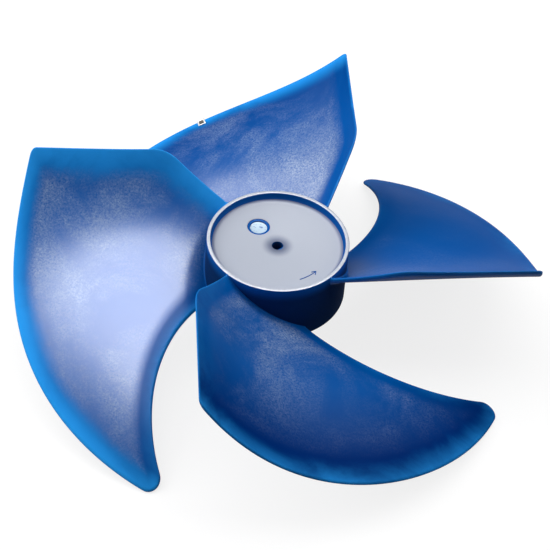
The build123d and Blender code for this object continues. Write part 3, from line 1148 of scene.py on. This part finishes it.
class FAN_OT_add_clip(bpy.types.Operator):
    """Adds the bent steel balance clip on one blade's tip edge"""

    bl_idname = "fan.add_clip"
    bl_label = "Add balance clip"

    def execute(self, context):
        settings = context.scene.fan
        clip = settings.clip
        if clip.blade >= settings.blade.count:
            raise RuntimeError("The blade that carries the clip is missing")
        place, thickness = self.seat(settings)
        slot = thickness + 2 * clip.clearance
        outer = slot / 2 + clip.strip
        nose = clip.clearance + clip.strip
        inner_bend = max(clip.bend - clip.strip, clip.strip / 4)
        outside = rounded_profile(
            ((-clip.leg, outer, 0), (nose, outer, clip.bend), (nose, -outer, clip.bend), (-clip.leg, -outer, 0))
        )
        inside = rounded_profile(
            (
                (-clip.leg, -slot / 2, 0),
                (clip.clearance, -slot / 2, inner_bend),
                (clip.clearance, slot / 2, inner_bend),
                (-clip.leg, slot / 2, 0),
            )
        )
        bm = bmesh.new()
        loops = []
        for side in (-clip.width / 2, clip.width / 2):
            loops.append([bm.verts.new((x, y, side)) for x, y in outside + inside])
        count = len(loops[0])
        for i in range(count):
            j = (i + 1) % count
            bm.faces.new((loops[0][i], loops[0][j], loops[1][j], loops[1][i]))
        half = len(outside)
        for loop in loops:
            for i in range(half - 1):
                bm.faces.new((loop[i], loop[i + 1], loop[count - 2 - i], loop[count - 1 - i]))
        bmesh.ops.recalc_face_normals(bm, faces=bm.faces)
        leg = max(bm.faces, key=lambda f: f.normal.y * f.calc_area())
        bmesh.ops.inset_individual(bm, faces=[leg], thickness=clip.dimple_margin)
        bmesh.ops.inset_individual(bm, faces=[leg], thickness=clip.dimple_depth, depth=-clip.dimple_depth)
        # The dimple's floor takes the dark steel: painted shade
        leg.material_index = 1
        mesh = finished_mesh(bm, "Balance clip", math.radians(30))
        mesh.transform(place)
        finish = settings.finish
        piece = new_piece(
            "balance_clip_strip", mesh, "spring_steel",
            clip_steel("Spring steel", finish.steel, (0.42, 0.54)),
            # The second material paints shade in the clip's dimple
            clip_steel("Stamped steel", finish.dimple_shade, (0.45, 0.6)),
        )
        soft = piece.modifiers.new("Soft edges", "BEVEL")
        soft.width = clip.strip / 5
        soft.segments = 2
        soft.limit_method = "ANGLE"
        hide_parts("balance_clip")
        return {"FINISHED"}

    @staticmethod
    def seat(settings):
        """Placing matrix of the clip, with X outward and Y to the front, and the blade's thickness there."""
        blade, clip = settings.blade, settings.clip
        trailing, leading, centre, _ = tip_line(settings)
        points = np.array(arc(centre, trailing, leading, 400))
        length = travelled(points)[-1]
        turn = blade.datum + 2 * math.pi * clip.blade / blade.count

        def on_blade(point):
            radius, angle = np.hypot(*point), math.atan2(point[1], point[0])
            height, _ = camber(settings, radius, angle)
            return Vector((*(polar(radius, angle + turn)), height))

        spot = at_lengths(points, np.array([clip.position * length]))[0]
        beside = at_lengths(points, np.array([clip.position * length - clip.width]))[0]
        edge = on_blade(spot)
        across = (on_blade(beside) - edge).normalized()
        outward = edge - on_blade(spot * (1 - clip.leg / blade.tip_radius))
        outward = (outward - across * outward.dot(across)).normalized()
        upward = across.cross(outward)
        place = Matrix((outward, upward, across)).transposed().to_4x4()
        place.translation = edge
        return place, blade.thickness[1]


class FAN_OT_add_turning_sign(bpy.types.Operator):
    """Adds the raised arrow on the hub's face that shows the turning direction"""

    bl_idname = "fan.add_turning_sign"
    bl_label = "Add turning sign"

    def execute(self, context):
        settings = context.scene.fan
        sign, hub = settings.sign, settings.hub
        face = hub.rim - hub.recess_depth
        tail, head = sign.sweep
        bm = bmesh.new()
        spots = [polar(sign.radius, straight((tail, head), share)) for share in np.linspace(0, 1, 17)]
        self.stroke(bm, spots, sign, face)
        tip = spots[-1]
        back = -np.array((-math.sin(head), math.cos(head)))
        for lean in (-BARB_LEAN, BARB_LEAN):
            cos, sin = math.cos(lean), math.sin(lean)
            way = np.array((back[0] * cos - back[1] * sin, back[0] * sin + back[1] * cos))
            self.stroke(bm, [tip, tip + way * sign.barb], sign, face)
        mesh = finished_mesh(bm, "Turning sign", math.radians(40))
        new_piece("turning_sign", mesh, "blue_plastic", shared_blue())
        return {"FINISHED"}

    @staticmethod
    def stroke(bm, spots, sign, face):
        """Raised line with sloped sides along some spots."""
        spots = np.array(spots)
        along = np.gradient(spots, axis=0)
        along /= np.hypot(*along.T)[:, None]
        side = np.stack((-along[:, 1], along[:, 0]), axis=1)
        rings = []
        for spot, across in zip(spots, side):
            foot, top = across * sign.line / 2, across * sign.line / 4
            rings.append(
                [
                    bm.verts.new((*(spot - foot), face - sign.height / 2)),
                    bm.verts.new((*(spot - top), face + sign.height)),
                    bm.verts.new((*(spot + top), face + sign.height)),
                    bm.verts.new((*(spot + foot), face - sign.height / 2)),
                ]
            )
        for first, second in zip(rings, rings[1:]):
            for i in range(4):
                j = (i + 1) % 4
                bm.faces.new((first[i], first[j], second[j], second[i]))
        bm.faces.new(rings[0])
        bm.faces.new(rings[-1][::-1])


class FAN_OT_add_stage(bpy.types.Operator):
    """Adds the floor, the plain surroundings, the lamps and the camera"""

    bl_idname = "fan.add_stage"
    bl_label = "Add stage"

    def execute(self, context):
        stage = context.scene.fan.stage
        context.scene.view_settings.view_transform = "Standard"
        self.add_floor(stage)
        self.add_world(stage)
        for lamp in LAMPS:
            self.add_lamp(*lamp)
        self.add_camera(context, stage)
        return {"FINISHED"}

    @staticmethod
    def add_floor(stage):
        """Pale floor that keeps the shadow, is lifted to white for camera and reflections, and is clear from below."""
        bm = bmesh.new()
        bmesh.ops.create_grid(bm, x_segments=1, y_segments=1, size=stage.floor_size / 2)
        floor = bpy.data.objects.new("floor", finished_mesh(bm, "Floor"))
        floor.location.z = CAD_BOX[0][2] - 0.0002
        bpy.context.scene.collection.objects.link(floor)
        material, tree, shader = new_material(
            "Pale floor", stage.floor_colour, Base_Color=(*stage.floor_colour, 1), Roughness=0.9,
            Specular_IOR_Level=0.1, Emission_Color=(1, 1, 1, 1),
        )
        path = node(tree, "ShaderNodeLightPath", (-900, 0)).outputs
        seen = path["Is Camera Ray"]
        for x, ray in ((-700, "Is Glossy Ray"), (-500, "Is Transmission Ray")):
            seen = node(tree, "ShaderNodeMath", (x, 0), {0: seen, 1: path[ray]}, operation="MAXIMUM").outputs[0]
        away = length_of(tree, (-900, -300), own_space(tree, (-1100, -300)))
        near = map_range(tree, (-700, -300), away, stage.floor_fade, (stage.floor_lift, 0), smooth=True)
        put(tree, shader.inputs["Emission Strength"], multiply(tree, (-300, 0), seen, near))
        below = node(tree, "ShaderNodeNewGeometry", (-300, 500)).outputs["Backfacing"]
        clear = node(tree, "ShaderNodeBsdfTransparent", (0, -300)).outputs[0]
        mix = node(tree, "ShaderNodeMixShader", (300, 200), {0: below, 1: shader.outputs[0], 2: clear})
        put(tree, tree.nodes["Material Output"].inputs["Surface"], mix.outputs[0])
        floor.data.materials.append(material)

    @staticmethod
    def add_world(stage):
        """Plain surroundings that give a soft even light."""
        world = bpy.data.worlds.new("Surroundings")
        bpy.context.scene.world = world
        world.use_nodes = True
        light = world.node_tree.nodes["Background"]
        light.inputs["Color"].default_value = (1, 1, 1, 1)
        light.inputs["Strength"].default_value = stage.ambient

    @staticmethod
    def add_lamp(name, azimuth, elevation, distance, size, power, diffuse):
        """Rectangular softbox that faces the fan from a direction in degrees, or shows in reflections alone."""
        lamp = bpy.data.lights.new(name, "AREA")
        lamp.shape = "RECTANGLE"
        lamp.size, lamp.size_y = size
        lamp.energy = power
        turn, lift = math.radians(azimuth), math.radians(elevation)
        way = Vector((math.cos(turn) * math.cos(lift), math.sin(turn) * math.cos(lift), math.sin(lift)))
        holder = bpy.data.objects.new(name, lamp)
        holder.location = way * distance
        holder.rotation_euler = way.to_track_quat("Z", "Y").to_euler()
        holder.visible_diffuse = diffuse
        bpy.context.scene.collection.objects.link(holder)

    @staticmethod
    def add_camera(context, stage):
        """Camera at the photograph's viewing angle."""
        camera = bpy.data.cameras.new("Camera")
        camera.lens = stage.camera_lens
        lift = stage.camera_elevation
        way = Vector((0, -math.cos(lift), math.sin(lift)))
        holder = bpy.data.objects.new("Camera", camera)
        turn = way.to_track_quat("Z", "Y").to_matrix() @ Matrix.Rotation(stage.camera_roll, 3, "Z")
        holder.matrix_world = Matrix.LocRotScale(
            Vector((0, 0, stage.camera_aim)) + way * stage.camera_distance, turn.to_quaternion(), None
        )
        context.scene.collection.objects.link(holder)
        context.scene.camera = holder


class FAN_PT_looks(bpy.types.Panel):
    """Sidebar panel with the fan's operators and settings"""

    bl_idname = "FAN_PT_looks"
    bl_label = "Axial fan"
    bl_space_type = "VIEW_3D"
    bl_region_type = "UI"
    bl_category = "Fan"

    def draw(self, context):
        layout = self.layout
        for operator in OPERATORS:
            layout.operator(operator.bl_idname)
        settings = context.scene.fan
        for group in (settings.hub, settings.blade, settings.clip, settings.sign, settings.finish, settings.stage):
            box = layout.box()
            for name in group.bl_rna.properties.keys():
                if name not in ("rna_type", "name"):
                    box.prop(group, name)


OPERATORS = (FAN_OT_add_blades, FAN_OT_add_hub, FAN_OT_add_clip, FAN_OT_add_turning_sign, FAN_OT_add_stage)
CLASSES = (
    FanHubSettings,
    FanBladeSettings,
    FanClipSettings,
    FanSignSettings,
    FanFinishSettings,
    FanStageSettings,
    FanSettings,
    *OPERATORS,
    FAN_PT_looks,
)


def register():
    """Registers the classes and puts the settings on the scene."""
    for cls in CLASSES:
        bpy.utils.register_class(cls)
    bpy.types.Scene.fan = bpy.props.PointerProperty(type=FanSettings)


def unregister():
    """Takes the settings off the scene and unregisters the classes."""
    del bpy.types.Scene.fan
    for cls in reversed(CLASSES):
        bpy.utils.unregister_class(cls)


def main():
    """Builds the fan and its stage."""
    register()
    bpy.ops.fan.add_blades()
    bpy.ops.fan.add_hub()
    bpy.ops.fan.add_clip()
    bpy.ops.fan.add_turning_sign()
    bpy.ops.fan.add_stage()


if __name__ == "__main__":
    main()
